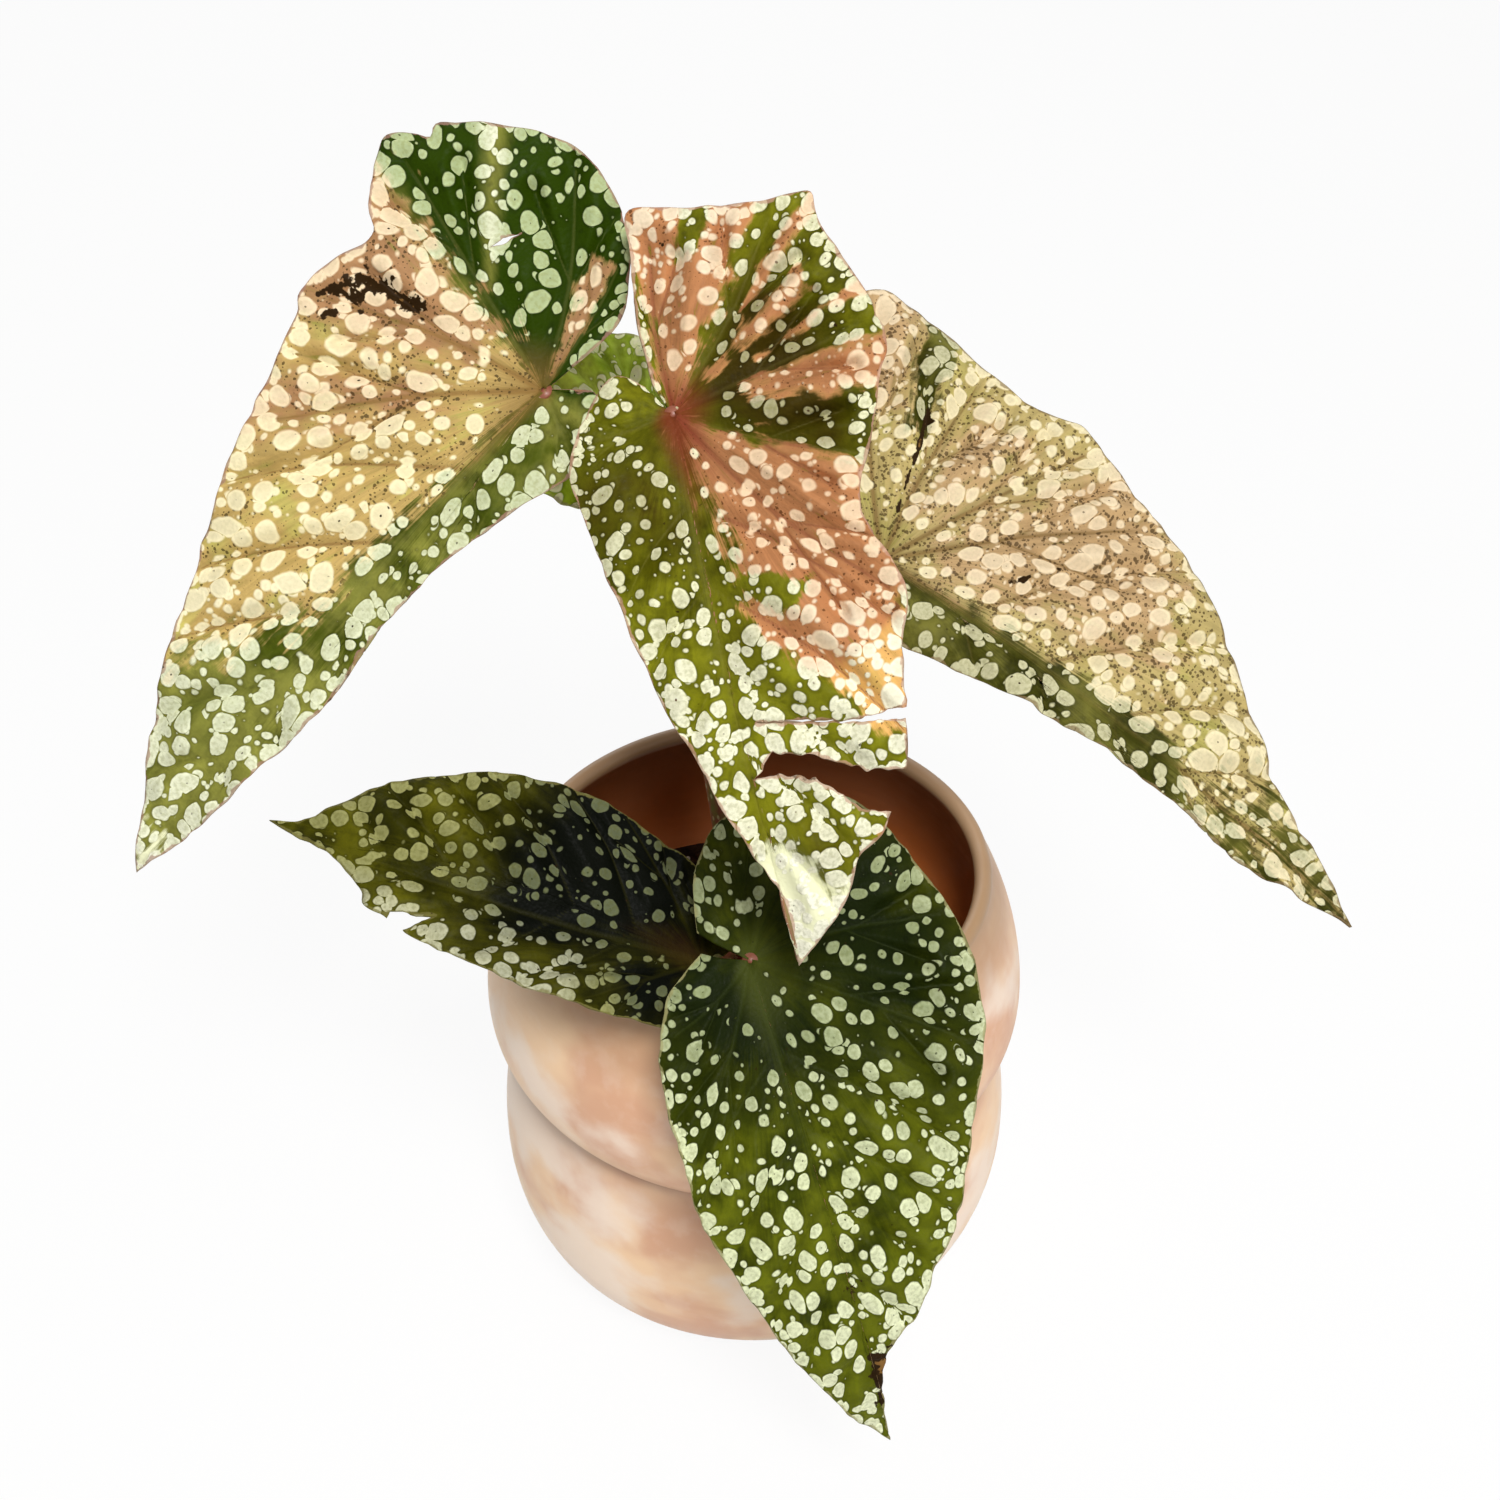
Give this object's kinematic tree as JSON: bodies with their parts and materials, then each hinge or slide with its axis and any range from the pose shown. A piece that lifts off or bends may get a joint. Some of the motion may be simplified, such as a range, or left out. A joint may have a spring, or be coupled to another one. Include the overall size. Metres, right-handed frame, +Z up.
{
  "type": "potted begonia",
  "caption": "Angel-wing begonia with a cane and large spotted, part cream and part green leaves, growing in a round ceramic pot with two bellies",
  "frame": {"origin": "centre of the flat underside of the pot, where the pot stands", "axes": "+Z up along the axis of the pot; -Y towards the side on which the front leaf hangs over the rim; +X to the right seen from that side"},
  "size_m": [0.2469, 0.1647, 0.2702],
  "materials": {
    "pot_stoneware": "satin",
    "potting_soil": "matte",
    "stem": "satin",
    "leaf_variegated": "satin",
    "leaf_green": "satin"
  },
  "bodies": {
    "root": {"pot": "pot_stoneware", "soil": "potting_soil", "cane": "stem", "terminal_bud": "stem", "petiole_left": "stem", "petiole_centre": "stem", "petiole_right": "stem", "petiole_small_back": "stem", "petiole_lower_left": "stem", "petiole_front": "stem", "leaf_left": "leaf_variegated", "leaf_centre": "leaf_variegated", "leaf_right": "leaf_variegated", "leaf_small_back": "leaf_green", "leaf_lower_left": "leaf_green", "leaf_front": "leaf_green"}
  },
  "joints": []
}
